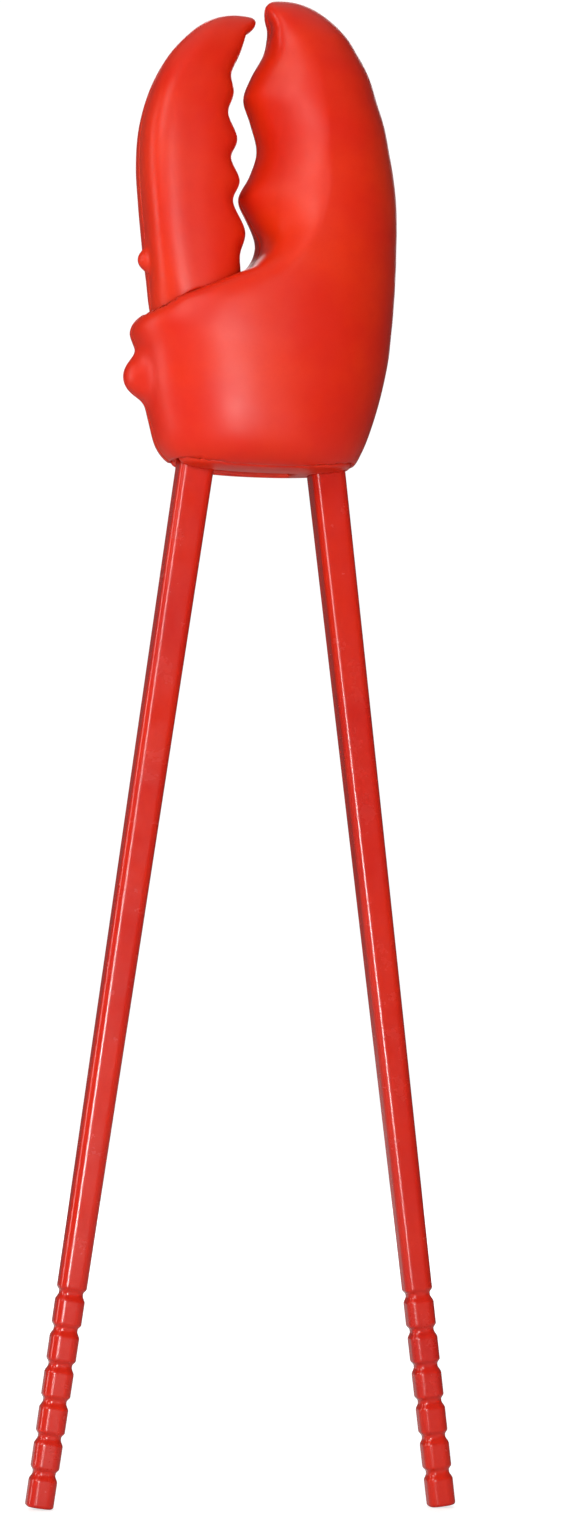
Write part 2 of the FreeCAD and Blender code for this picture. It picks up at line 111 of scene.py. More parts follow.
# Toothed edges, from inside the palm to beyond the tip.
FIXED_EDGE = (
    (-3.2, 197.1), (-1.1, 199.7), (-0.9, 202.4), (-3.0, 205.6), (-4.5, 208.9), (-2.5, 213.0),
    (-1.4, 217.0), (-2.7, 221.3), (-3.9, 224.8), (-2.8, 228.2), (-0.6, 232.4), (0.3, 236.0),
    (-0.5, 238.8), (-1.4, 246.0),
)
FINGER_EDGE = (
    (-4.4, 182.0), (-4.2, 190.0), (-4.2, 196.0), (-4.6, 199.4), (-3.6, 203.2), (-6.1, 207.6),
    (-4.8, 211.2), (-6.5, 214.6), (-5.2, 217.9), (-7.0, 221.7), (-5.8, 225.2), (-6.4, 228.2),
    (-4.8, 231.6), (-4.0, 234.8), (-2.4, 236.4), (-0.8, 242.0),
)
MOUTH_RIM = (
    (-46.0, 180.0), (-26.0, 186.6), (-20.0, 189.6), (-16.0, 191.5), (-12.5, 192.9), (-7.0, 195.4),
)
TOOTH_WALL_FLOOR = 197.5
KNOB = (-19.3, 0.0, 179.9)
KNOB_RADIUS = 3.2
BUMP = (-18.9, -0.4, 198.4)
BUMP_RADIUS = 1.7
BASE_TOP = 167.8
BASE_HALF = (14.4, 7.6)
SLOT_MIDDLE = -4.4
SLOT_HALF = (9.6, 3.1)
# x, z and seat of the head of each screw
PALM_SCREWS = ((8.0, 188.6, 8.6), (12.5, 208.0, 7.6), (7.6, 227.0, 4.6))
FINGER_SCREWS = ((-12.4, 202.5, 4.3), (-12.6, 215.5, 4.3))
PIVOT_BOSS = (2.6, 5.2)             # radius, distance of its face from the middle
PALM_BOSS_RADIUS = 4.0
LUG_FACE = 6.02                     # where the lowest palm screw's bosses end
NECK_ROOM = (8.7, 8.4)              # radius and half depth of the room round the pivot
NECK_WALL = 1.1                     # what that room leaves of the palm's wall
PIN_HOLE = (1.53, 9.7)
PALM_HOLES = (1.15, 2.6)            # radius for the shank and for the head
FINGER_HOLES = (0.95, 2.1)
FINGER_POST = (3.0, 2.62)
HUB_ROOM = (5.4, 4.9)
COIL_ROOM_RADIUS = 3.8
FINGER_FOOT = 186.2                 # that room doesn't open the shell above this height


# ------------------------------------------------------------------ implicit shapes
def smooth_curve(points, steps=16):
    """Catmull-Rom points through the given ones, ends included."""
    points = np.array(points, float)
    padded = np.vstack([2 * points[0] - points[1], points, 2 * points[-1] - points[-2]])
    share = (np.arange(steps) / steps)[:, None]
    out = []
    for k in range(len(points) - 1):
        a, b, c, d = padded[k:k + 4]
        out.append(0.5 * (2 * b + (c - a) * share + (2 * a - 5 * b + 4 * c - d) * share ** 2
                          + (3 * b - a - 3 * c + d) * share ** 3))
    out.append(points[-1:])
    return np.vstack(out)


class Egg:
    """A closed body with egg-shaped level sections, as an approximate signed distance."""

    def __init__(self, rows, power):
        rows = np.array(rows, float)
        self.low, self.high = rows[0, 0], rows[-1, 0]
        self.power = power
        self.table = smooth_curve(np.column_stack([self.turn(rows[:, 0]), rows[:, 1:]]), 24)

    def turn(self, z):
        """Height as an angle, so that the ends close round."""
        share = np.clip((z - self.low) / (self.high - self.low), 0, 1)
        return np.arccos(1 - 2 * share)

    def raw(self, x, y, z):
        angle = self.turn(z)
        left, crest, right, depth, left_power = (
            np.interp(angle, self.table[:, 0], self.table[:, k]) for k in (1, 2, 3, 4, 5))
        on_right = x > crest
        power = np.where(on_right, self.power, left_power)
        reach = np.maximum(np.where(on_right, right - crest, crest - left), 0.05)
        depth = np.maximum(depth, 0.05)
        flat = (np.abs(x - crest) / reach) ** power + (np.abs(y) / depth) ** power
        over = np.maximum(np.maximum(z - self.high, self.low - z), 0)
        return flat ** (1 / power) - 1 + over

    def __call__(self, x, y, z):
        step = 0.05
        here = self.raw(x, y, z)
        slope = np.sqrt((self.raw(x + step, y, z) - here) ** 2
                        + (self.raw(x, y + step, z) - here) ** 2
                        + (self.raw(x, y, z + step) - here) ** 2) / step
        return np.clip(here / np.maximum(slope, 0.02), -14, 14)


class Side:
    """Signed distance in the X-Z plane to an outline: negative inside it."""
    STEP = 0.15

    def __init__(self, outline, low, high):
        self.origin = np.array(low, float)
        count = np.ceil((np.array(high) - self.origin) / self.STEP).astype(int) + 1
        x = self.origin[0] + self.STEP * np.arange(count[0])
        z = self.origin[1] + self.STEP * np.arange(count[1])
        gx, gz = np.meshgrid(x, z, indexing="ij")
        best = np.full(gx.shape, 1e9)
        inside = np.zeros(gx.shape, bool)
        ends = np.roll(outline, -1, axis=0)
        for (ax, az), (bx, bz) in zip(outline, ends):
            dx, dz = bx - ax, bz - az
            length = dx * dx + dz * dz
            if length < 1e-12:
                continue
            share = np.clip(((gx - ax) * dx + (gz - az) * dz) / length, 0, 1)
            best = np.minimum(best, (gx - ax - share * dx) ** 2 + (gz - az - share * dz) ** 2)
            if az != bz:
                crosses = ((az > gz) != (bz > gz)) & (gx < ax + (gz - az) / dz * dx)
                inside ^= crosses
        self.field = np.sqrt(best) * np.where(inside, -1, 1)

    def __call__(self, x, z):
        u = np.clip((x - self.origin[0]) / self.STEP, 0, self.field.shape[0] - 1.001)
        v = np.clip((z - self.origin[1]) / self.STEP, 0, self.field.shape[1] - 1.001)
        i, j = u.astype(int), v.astype(int)
        s, t = u - i, v - j
        f = self.field
        return ((f[i, j] * (1 - s) + f[i + 1, j] * s) * (1 - t)
                + (f[i, j + 1] * (1 - s) + f[i + 1, j + 1] * s) * t)


def soft_max(a, b, blend):
    """The larger of two distances, rounded over where they meet."""
    near = np.maximum(blend - np.abs(a - b), 0) / blend
    return np.maximum(a, b) + near * near * blend / 4


def soft_min(a, b, blend):
    return -soft_max(-a, -b, blend)


def ball(centre, radius, x, y, z):
    return np.sqrt((x - centre[0]) ** 2 + (y - centre[1]) ** 2 + (z - centre[2]) ** 2) - radius


def bar(x, z, centre_x, centre_z, radius):
    """Distance to an endless cylinder along Y."""
    return np.hypot(x - centre_x, z - centre_z) - radius


def surface_mesh(name, field, low, high, step):
    """Closed mesh of the surface field = 0, by surface nets pulled onto the true surface."""
    axes = [np.arange(low[k] - step, high[k] + 2 * step, step) for k in range(3)]
    gx, gy, gz = np.meshgrid(*axes, indexing="ij")
    value = field(gx, gy, gz)
    value[value == 0] = 1e-6
    size = value.shape
    cells = tuple(n - 1 for n in size)
    total = np.zeros(cells + (3,))
    hits = np.zeros(cells)
    offsets = [(i, j, k) for i in (0, 1) for j in (0, 1) for k in (0, 1)]
    for a in offsets:
        for axis in range(3):
            if a[axis]:
                continue
            b = tuple(a[m] + (m == axis) for m in range(3))
            va = value[tuple(slice(a[m], a[m] + cells[m]) for m in range(3))]
            vb = value[tuple(slice(b[m], b[m] + cells[m]) for m in range(3))]
            cross = (va < 0) != (vb < 0)
            share = np.where(cross, va / np.where(cross, va - vb, 1), 0)
            for m in range(3):
                total[..., m] += np.where(cross, a[m] + (share if m == axis else 0), 0)
            hits += cross
    used = hits > 0
    index = np.full(cells, -1)
    index[used] = np.arange(used.sum())
    place = total[used] / hits[used][:, None] + np.argwhere(used)
    points = place * step + np.array([axis[0] for axis in axes])
    quads = []
    for axis in range(3):
        p, q = (axis + 1) % 3, (axis + 2) % 3
        lower = [slice(1, size[m] - 1) for m in range(3)]
        upper = list(lower)
        lower[axis] = slice(0, size[axis] - 1)
        upper[axis] = slice(1, size[axis])
        inside, outside = value[tuple(lower)] < 0, value[tuple(upper)] < 0
        for flip in (False, True):
            edge = (inside & ~outside) if not flip else (~inside & outside)
            at = np.argwhere(edge)
            if not len(at):
                continue
            at[:, p] += 1
            at[:, q] += 1
            corner = []
            for dp, dq in ((1, 1), (0, 1), (0, 0), (1, 0)):
                cell = at.copy()
                cell[:, p] -= dp
                cell[:, q] -= dq
                corner.append(index[cell[:, 0], cell[:, 1], cell[:, 2]])
            quad = np.column_stack(corner)
            quads.append(quad[:, ::-1] if flip else quad)
    quads = np.vstack(quads)
    points = settle(points, quads, field, step)
    mesh = bpy.data.meshes.new(name)
    mesh.from_pydata((points * MM).tolist(), [], quads.tolist())
    mesh.polygons.foreach_set("use_smooth", [True] * len(mesh.polygons))
    mesh.update()
    piece = bpy.data.objects.new(name, mesh)
    bpy.context.scene.collection.objects.link(piece)
    return piece


def settle(points, quads, field, step):
    """Evens out the vertices, then moves each onto the surface."""
    tiny = 0.02
    ends = np.concatenate([quads, np.roll(quads, -1, axis=1)])
    a, b = ends[:len(quads)].ravel(), ends[len(quads):].ravel()
    degree = np.bincount(a, minlength=len(points)) + np.bincount(b, minlength=len(points))
    for even in (True, True, False):
        if even:
            middle = np.zeros_like(points)
            for m in range(3):
                middle[:, m] = (np.bincount(a, points[b, m], len(points))
                                + np.bincount(b, points[a, m], len(points)))
            points = 0.5 * points + 0.5 * middle / degree[:, None]
        here = field(*points.T)
        slope = np.column_stack([
            (field(*(points + tiny * np.eye(3)[m]).T) - here) / tiny for m in range(3)])
        square = np.maximum((slope ** 2).sum(1), 0.2)
        move = -(here / square)[:, None] * slope
        points = points + np.clip(move, -0.5 * step, 0.5 * step)
    return points


# ------------------------------------------------------------------ the head's shape
head_egg = Egg(HEAD_ROWS, HEAD_POWER)
finger_egg = Egg(FINGER_ROWS, FINGER_POWER)
fixed_curve = smooth_curve(FIXED_EDGE)
rim_curve = smooth_curve(MOUTH_RIM + FIXED_EDGE[:1])
SIDE_AREA = ((-26, 160), (26, 244))
UPPER_LEFT = [(-46.0, 246.0)]
mouth_side = Side(np.vstack([rim_curve, fixed_curve[1:], UPPER_LEFT]), *SIDE_AREA)
wall_side = Side(np.vstack([[(-46.0, TOOTH_WALL_FLOOR)], fixed_curve, UPPER_LEFT]), *SIDE_AREA)
finger_side = Side(np.vstack([smooth_curve(FINGER_EDGE), [(30.0, 242.0), (30.0, 182.0)]]),
                   *SIDE_AREA)
PARTING = 0.015         # half the gap between two shells
EDGE_SOFT = 0.35        # softness of the shells' parting edges


def step_up(value, low, high):
    """Smooth step from 0 to 1."""
    share = np.clip((value - low) / (high - low), 0, 1)
    return share * share * (3 - 2 * share)


def palm_body(x, y, z):
    """Palm and fixed finger, solid."""
    body = soft_min(head_egg(x, y, z), ball(KNOB, KNOB_RADIUS, x, y, z), 2.6)
    blend = 1.1 + 1.2 * step_up(z, 198, 203) - 0.8 * step_up(z, 232, 236)
    blend = blend + 1.2 * step_up(-x, 14, 18)
    return soft_max(body, -mouth_side(x, z), blend)


def palm_room(x, y, z):
    """Everything hollow inside the palm and the fixed finger."""
    egg = head_egg(x, y, z)
    room = np.maximum(egg + WALL, np.minimum(WALL - wall_side(x, z), z - TOOTH_WALL_FLOOR))
    neck = np.maximum(bar(x, z, PIVOT[0], PIVOT[2], NECK_ROOM[0]), np.abs(y) - NECK_ROOM[1])
    return np.minimum(room, np.maximum(neck, egg + NECK_WALL))


def plate_outline(x, y, gap):
    """Distance to the base plate's outline, seen from below."""
    half_x, half_y = BASE_HALF[0] - gap, BASE_HALF[1] - gap
    flat = (np.abs(x) / half_x) ** BASE_POWER + (np.abs(y) / half_y) ** BASE_POWER
    return (flat ** (1 / BASE_POWER) - 1) * half_y


def shell_half(solid, y, side):
    """One side of the parting plane, with softened edges. side is -1 front, 1 back."""
    return soft_max(solid, PARTING - side * y, EDGE_SOFT)


def palm_shell(side):
    """Field of one palm shell: hollow, with its bosses, the base's seat and screw holes."""
    def field(x, y, z):
        body, room = palm_body(x, y, z), palm_room(x, y, z)
        boss = bar(x, z, PIVOT[0], PIVOT[2], PIVOT_BOSS[0])
        boss = np.maximum(boss, PIVOT_BOSS[1] - side * y)
        for k, (sx, sz, seat) in enumerate(PALM_SCREWS):
            start = LUG_FACE if k == 0 else 0.0
            post = np.maximum(bar(x, z, sx, sz, PALM_BOSS_RADIUS), start - side * y)
            boss = np.minimum(boss, post)
        shell = shell_half(body, y, side)
        shell = np.maximum(shell, -soft_max(room, -boss, 0.6))
        plate = np.maximum(plate_outline(x, y, 0.0), z - BASE_TOP)
        shell = soft_max(shell, -plate, 0.3)
        hole = np.maximum(bar(x, z, PIVOT[0], PIVOT[2], PIN_HOLE[0]), side * y - PIN_HOLE[1])
        for sx, sz, seat in PALM_SCREWS:
            shank, head = (bar(x, z, sx, sz, radius) for radius in PALM_HOLES)
            hole = np.minimum(hole, np.maximum(shank, -y - 6))
            if side > 0:
                hole = np.minimum(hole, np.maximum(head, seat - y))
        return soft_max(shell, -hole, 0.3)
    return field


def finger_body(x, y, z):
    """Movable finger, solid, with the small bump on its outer side."""
    body = soft_min(finger_egg(x, y, z), ball(BUMP, BUMP_RADIUS, x, y, z), 1.3)
    blend = 2.6 - 1.4 * step_up(z, 231, 235)
    return soft_max(body, -finger_side(x, z), blend)


def finger_shell(side):
    """Field of one finger shell: hollow, with screw posts and room for hub and spring."""
    def field(x, y, z):
        room = np.maximum(finger_egg(x, y, z) + FINGER_WALL, FINGER_WALL - finger_side(x, z))
        for sx, sz, seat in FINGER_SCREWS:
            post = np.maximum(bar(x, z, sx, sz, FINGER_POST[0]), FINGER_POST[1] - side * y)
            room = np.maximum(room, -post)
        shell = shell_half(finger_body(x, y, z), y, side)
        shell = np.maximum(shell, -room)
        hub = np.maximum(bar(x, z, PIVOT[0], PIVOT[2], HUB_ROOM[0]), np.abs(y) - HUB_ROOM[1])
        hub = np.minimum(hub, bar(x, z, PIVOT[0], PIVOT[2], COIL_ROOM_RADIUS))
        hub = np.minimum(hub, z - FINGER_FOOT)
        shell = soft_max(shell, -hub, 0.5)
        hole = np.full_like(shell, 9.0)
        for sx, sz, seat in FINGER_SCREWS:
            shank, head = (bar(x, z, sx, sz, radius) for radius in FINGER_HOLES)
            hole = np.minimum(hole, np.maximum(shank, -y - 5.5))
            if side > 0:
                hole = np.minimum(hole, np.maximum(head, seat - y))
        return soft_max(shell, -hole, 0.3)
    return field


def stick_frame(side):
    """Matrix from a stick's own frame, in millimetres, to the row frame in metres."""
    mount = next(m for m in frame["record"]["mounts"]
                 if m["name"] == ("left" if side < 0 else "right") + "_tip_rest")
    along = -Vector(mount["axis"])
    across = Vector((0, 1, 0)).cross(along)
    turn = Matrix((across, Vector((0, 1, 0)), along)).transposed().to_4x4()
    return Matrix.Translation(Vector(mount["pos_m"])) @ turn @ Matrix.Scale(MM, 4)


# ------------------------------------------------------------------ sticks
STICK_LENGTH = 186.0
GRIP_LENGTH = 42.0
GROOVES = [5.6 + 5.75 * k for k in range(6)]
GROOVE_DEPTH = 0.42
GROOVE_ABOVE = 0.95                 # how far a groove reaches above its middle
GROOVE_BELOW = 1.35
# Side and corner radius at the tip, then what the grip and the rest add or take away.
TIP_SIDE, GRIP_SIDE, TOP_SIDE = 4.35, 0.2, 1.15
TIP_CORNER, GRIP_CORNER, TOP_CORNER = 1.4, 0.1, 0.3
RING_POINTS = 64


def stick_size(height):
    """Side and corner radius at a height from the tip."""
    share = np.clip(height / GRIP_LENGTH, 0, 1)
    upper = np.clip((height - GRIP_LENGTH) / (STICK_LENGTH - GRIP_LENGTH), 0, 1)
    return (TIP_SIDE + GRIP_SIDE * share + TOP_SIDE * upper,
            TIP_CORNER - GRIP_CORNER * share - TOP_CORNER * upper)


def groove_depth(height):
    """How far the stick is cut in at a height: a short upper flank, a longer lower one."""
    depth = 0.0
    for middle in GROOVES:
        above = np.clip((height - middle) / GROOVE_ABOVE, 0, 1)
        below = np.clip((middle - height) / GROOVE_BELOW, 0, 1)
        depth += GROOVE_DEPTH * (1 - step_up(max(above, below), 0.12, 1.0))
    if height < 0.5:
        depth += 0.5 - math.sqrt(max(0.25 - (0.5 - height) ** 2, 0))
    return depth


def stick_ring(height):
    side, corner = stick_size(height)
    depth = groove_depth(height)
    half, corner = side / 2 - depth, max(corner - 0.4 * depth, 0.6)
    angles = (np.arange(RING_POINTS) + 0.5) * 2 * math.pi / RING_POINTS
    points = []
    for angle in angles:
        quarter = math.floor(angle / (math.pi / 2) + 0.5) * math.pi / 2
        # Half of each quarter turn is spent on the corner, the rest on the flat.
        local = angle - quarter
        share = abs(local) / (math.pi / 4)
        flat = half - corner
        if share < 0.5:
            u, v = half, flat * share / 0.5
        else:
            bend = (share - 0.5) / 0.5 * math.pi / 4
            u, v = flat + corner * math.cos(bend), flat + corner * math.sin(bend)
        v = math.copysign(v, local)
        points.append((u * math.cos(quarter) - v * math.sin(quarter),
                       u * math.sin(quarter) + v * math.cos(quarter), height))
    return points


def stick(name, side):
    """One stick: rings from tip to top, closed by two flat ends."""
    fine = np.arange(0.6, GROOVES[-1] + 2.0, 0.14)
    tip = 0.5 - 0.5 * np.cos(np.linspace(0, math.pi / 2, 7))
    heights = list(tip) + list(fine) + list(np.linspace(GROOVES[-1] + 2.4, STICK_LENGTH, 60))
    build = bmesh.new()
    rings = [[build.verts.new(p) for p in stick_ring(h)] for h in heights]
    for low, high in zip(rings, rings[1:]):
        for k in range(RING_POINTS):
            after = (k + 1) % RING_POINTS
            build.faces.new((low[k], low[after], high[after], high[k]))
    build.faces.new(list(reversed(rings[0])))
    build.faces.new(rings[-1])
    bmesh.ops.recalc_face_normals(build, faces=build.faces)
    mesh = bpy.data.meshes.new(name)
    build.to_mesh(mesh)
    build.free()
    mesh.polygons.foreach_set("use_smooth", [len(p.vertices) == 4 for p in mesh.polygons])
    mesh.transform(stick_frame(side))
    piece = bpy.data.objects.new(name, mesh)
    bpy.context.scene.collection.objects.link(piece)
    return piece


HOLE_HALF = 2.17                    # half side of the shaft at the tip
HOLE_GRIP, HOLE_TOP = 0.1, 0.58     # what the grip and the rest add to it
HOLE_CORNER = 1.1
PLATE_GAP = 0.06
PLATE_DROP = 0.02


def in_stick(x, y, z, side):
    """Distance to the stick's square shaft, for the base plate's hole."""
    rows = np.array(stick_frame(side).inverted())
    px, py, pz = (rows[k, 0] * x * MM + rows[k, 1] * y * MM + rows[k, 2] * z * MM + rows[k, 3]
                  for k in (0, 1, 2))
    upper = np.clip((pz - GRIP_LENGTH) / (STICK_LENGTH - GRIP_LENGTH), 0, 1)
    half = HOLE_HALF + HOLE_GRIP * np.clip(pz / GRIP_LENGTH, 0, 1) + HOLE_TOP * upper
    ax, ay = np.abs(px) - half + HOLE_CORNER, np.abs(py) - half + HOLE_CORNER
    outside = np.hypot(np.maximum(ax, 0), np.maximum(ay, 0))
    return outside + np.minimum(np.maximum(ax, ay), 0) - HOLE_CORNER


def plate_field(x, y, z):
    """Base plate: the underside's own curve, cut by the slot and the square hole."""
    plate = soft_max(head_egg(x, y, z), plate_outline(x, y, PLATE_GAP), 0.3)
    plate = np.maximum(plate, z - BASE_TOP + PLATE_DROP)
    slot_x, slot_y = np.abs(x - SLOT_MIDDLE) - SLOT_HALF[0], np.abs(y) - SLOT_HALF[1]
    slot = np.maximum(slot_x, slot_y)
    plate = soft_max(plate, -slot, 0.5)
    return soft_max(plate, 0.25 - in_stick(x, y, z, 1), 0.4)


# ------------------------------------------------------------------ spring
COIL_RADIUS = 3.1
COIL_FRONT = -7.5
COIL_REAR = -5.75
COIL_TURNS = 2.4
COIL_STEPS = 96
LEG_START = 4.0                     # x of the fixed leg's free end
LEG_MIDDLE = -6.0
# The moving leg and its hook: x, how far behind the coil's rear, z.
MOVING_LEG = ((-4.4, 0.0, 180.6), (-3.7, 0.4, 180.1), (-3.6, 4.2, 180.0))
WIRE_RADIUS = 0.32


def spring_path():
    """Fixed leg, coil from front to rear, moving leg with its hook, in millimetres."""
    top = PIVOT[2] + COIL_RADIUS
    path = [Vector((x, COIL_FRONT, top)) for x in (LEG_START, LEG_MIDDLE)]
    for step in range(COIL_STEPS + 1):
        share = step / COIL_STEPS
        angle = math.pi / 2 + share * COIL_TURNS * 2 * math.pi
        path.append(Vector((PIVOT[0] + COIL_RADIUS * math.cos(angle),
                            COIL_FRONT + (COIL_REAR - COIL_FRONT) * share,
                            PIVOT[2] + COIL_RADIUS * math.sin(angle))))
    return path + [Vector((x, COIL_REAR + behind, z)) for x, behind, z in MOVING_LEG]


def tube(name, path, radius, sides=12):
    """A round wire along a path of points."""
    build = bmesh.new()
    rings = []
    for place, point in enumerate(path):
        before, after = path[max(place - 1, 0)], path[min(place + 1, len(path) - 1)]
        along = (after - before).normalized()
        first = along.cross(Vector((0, 1, 0.01))).normalized()
        second = along.cross(first)
        turns = [k * 2 * math.pi / sides for k in range(sides)]
        ring = [point + radius * (math.cos(t) * first + math.sin(t) * second) for t in turns]
        rings.append([build.verts.new(spot * MM) for spot in ring])
    for low, high in zip(rings, rings[1:]):
        for k in range(sides):
            after = (k + 1) % sides
            build.faces.new((low[k], low[after], high[after], high[k]))
    build.faces.new(list(reversed(rings[0])))
    build.faces.new(rings[-1])
    bmesh.ops.recalc_face_normals(build, faces=build.faces)
    mesh = bpy.data.meshes.new(name)
    build.to_mesh(mesh)
    build.free()
    mesh.polygons.foreach_set("use_smooth", [True] * len(mesh.polygons))
    piece = bpy.data.objects.new(name, mesh)
    bpy.context.scene.collection.objects.link(piece)
    return piece


# ------------------------------------------------------------------ materials
def new_material(name):
    material = bpy.data.materials.new(name)
    material.use_nodes = True
    tree = material.node_tree
    return material, tree, tree.nodes["Principled BSDF"]


def linear(red, green, blue):
    """Linear colour from 0-255 screen values."""
    def one(value):
        value /= 255
        return value / 12.92 if value <= 0.04045 else ((value + 0.055) / 1.055) ** 2.4
    return (one(red), one(green), one(blue), 1.0)


def noise(tree, scale, detail, roughness=0.55):
    node = tree.nodes.new("ShaderNodeTexNoise")
    node.inputs["Scale"].default_value = scale
    node.inputs["Detail"].default_value = detail
    node.inputs["Roughness"].default_value = roughness
    coords = tree.nodes.new("ShaderNodeTexCoord")
    tree.links.new(coords.outputs["Object"], node.inputs["Vector"])
    return node.outputs["Fac"]


def remap(tree, value, low, high, start=0.0, stop=1.0):
    node = tree.nodes.new("ShaderNodeMapRange")
    node.inputs["From Min"].default_value = start
    node.inputs["From Max"].default_value = stop
    node.inputs["To Min"].default_value = low
    node.inputs["To Max"].default_value = high
    tree.links.new(value, node.inputs["Value"])
    return node.outputs["Result"]


def mixed(tree, share, low, high):
    node = tree.nodes.new("ShaderNodeMix")
    node.data_type = "RGBA"
    tree.links.new(share, node.inputs["Factor"])
    node.inputs["A"].default_value = low
    if isinstance(high, tuple):
        node.inputs["B"].default_value = high
    else:
        tree.links.new(high, node.inputs["B"])
    return node.outputs["Result"]


def bumped(tree, shader, layers):
    """Chains bump nodes: each layer is a height, a distance in metres and a strength."""
    normal = None
    for height, distance, strength in layers:
        node = tree.nodes.new("ShaderNodeBump")
        node.inputs["Distance"].default_value = distance
        node.inputs["Strength"].default_value = strength
        tree.links.new(height, node.inputs["Height"])
        if normal is not None:
            tree.links.new(normal, node.inputs["Normal"])
        normal = node.outputs["Normal"]
    tree.links.new(normal, shader.inputs["Normal"])


def moulded_plastic(name, colour, deep, rough_low, rough_high, coat, grain, gloss=0.5):
    """Moulded plastic: mottled colour, fine spark-eroded grain, faint handling marks."""
    material, tree, shader = new_material(name)
    cloud = remap(tree, noise(tree, 60, 4), 0, 1, 0.38, 0.62)
    speck = remap(tree, noise(tree, 2600, 2), 0, 0.35, 0.5, 0.75)
    base = mixed(tree, cloud, deep, colour)
    mix = tree.nodes.new("ShaderNodeMix")
    mix.data_type = "RGBA"
    tree.links.new(speck, mix.inputs["Factor"])
    tree.links.new(base, mix.inputs["A"])
    mix.inputs["B"].default_value = deep
    tree.links.new(mix.outputs["Result"], shader.inputs["Base Color"])
    marks = remap(tree, noise(tree, 180, 6, 0.65), rough_low, rough_high, 0.35, 0.7)
    tree.links.new(marks, shader.inputs["Roughness"])
    shader.inputs["Specular IOR Level"].default_value = gloss
    shader.inputs["Coat Weight"].default_value = coat
    shader.inputs["Coat Roughness"].default_value = 0.12
    shader.inputs["Subsurface Weight"].default_value = 0.06
    shader.inputs["Subsurface Radius"].default_value = (1.0, 0.25, 0.15)
    shader.inputs["Subsurface Scale"].default_value = 0.0012
    bumped(tree, shader, ((noise(tree, 3200, 2), 0.00002, grain),
                          (noise(tree, 350, 3), 0.00004, grain)))
    return material


def steel(name):
    """Brushed stainless steel."""
    material, tree, shader = new_material(name)
    streak = remap(tree, noise(tree, 900, 5), 0.22, 0.42)
    tree.links.new(streak, shader.inputs["Roughness"])
    tint = mixed(tree, remap(tree, noise(tree, 300, 3), 0, 1), linear(150, 150, 152),
                 linear(196, 196, 198))
    tree.links.new(tint, shader.inputs["Base Color"])
    shader.inputs["Metallic"].default_value = 1.0
    bumped(tree, shader, ((noise(tree, 4000, 2), 0.00001, 0.3),))
    return material


claw_plastic = moulded_plastic("claw_plastic", linear(224, 46, 8), linear(216, 34, 10),
                               0.36, 0.46, 0.0, 0.25, 0.34)
stick_plastic = moulded_plastic("stick_plastic", linear(210, 34, 8), linear(200, 26, 10),
                                0.2, 0.3, 0.2, 0.12)
inner_plastic = moulded_plastic("inner_plastic", linear(190, 34, 26), linear(170, 24, 20),
                                0.42, 0.56, 0.0, 0.3)
washer_plastic = moulded_plastic("washer_plastic", linear(226, 224, 214), linear(208, 205, 194),
                                 0.35, 0.5, 0.0, 0.2)
metal = steel("steel")


def finish_piece(piece, material, body, slot, *nodes):
    piece.data.materials.clear()
    piece.data.materials.append(material)
    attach(piece, body)
    if nodes:
        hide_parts(*nodes)


# ------------------------------------------------------------------ camera and stage
CAMERA_DISTANCE = 0.75
CAMERA_HEIGHT = 0.0855
CAMERA_YAW = math.radians(12.0)
CAMERA_ROLL = math.radians(1.03)
SURROUND = 0.10          # light of the white room, apart from the lamps
FLOOR_NEAR = 0.7         # the floor's own glow close to the sticks
FLOOR_FAR = 1.0          # and far away, where it meets the white room
AIM = Vector((0.0054, 0.0, 0.11805))
VIEW_HEIGHT = 0.2464


def add_camera():
    data = bpy.data.cameras.new("camera")
    camera = bpy.data.objects.new("camera", data)
    bpy.context.scene.collection.objects.link(camera)
    back = Vector((-math.sin(CAMERA_YAW), -math.cos(CAMERA_YAW), 0))
    place = AIM + back * CAMERA_DISTANCE
    place.z = CAMERA_HEIGHT
    forward = -back
    right = Vector((math.cos(CAMERA_YAW), -math.sin(CAMERA_YAW), 0))
    up = Vector((0, 0, 1))
    turned = Matrix((right, up, -forward)).transposed().to_4x4()
    camera.matrix_world = (Matrix.Translation(place) @ turned
                           @ Matrix.Rotation(CAMERA_ROLL, 4, "Z"))
    data.sensor_fit = "VERTICAL"
    data.sensor_height = 36.0
    data.lens = 36.0 * CAMERA_DISTANCE / VIEW_HEIGHT
    data.shift_y = (AIM.z - CAMERA_HEIGHT) / VIEW_HEIGHT
    data.clip_end = 20
    bpy.context.scene.camera = camera


def area_light(name, place, target, size, power, colour=(1, 1, 1)):
    data = bpy.data.lights.new(name, "AREA")
    data.shape = "RECTANGLE"
    data.size, data.size_y = size
    data.energy = power
    data.color = colour
    light = bpy.data.objects.new(name, data)
    light.location = place
    light.visible_camera = False
    light.rotation_euler = (Vector(target) - Vector(place)).to_track_quat("-Z", "Y").to_euler()
    bpy.context.scene.collection.objects.link(light)


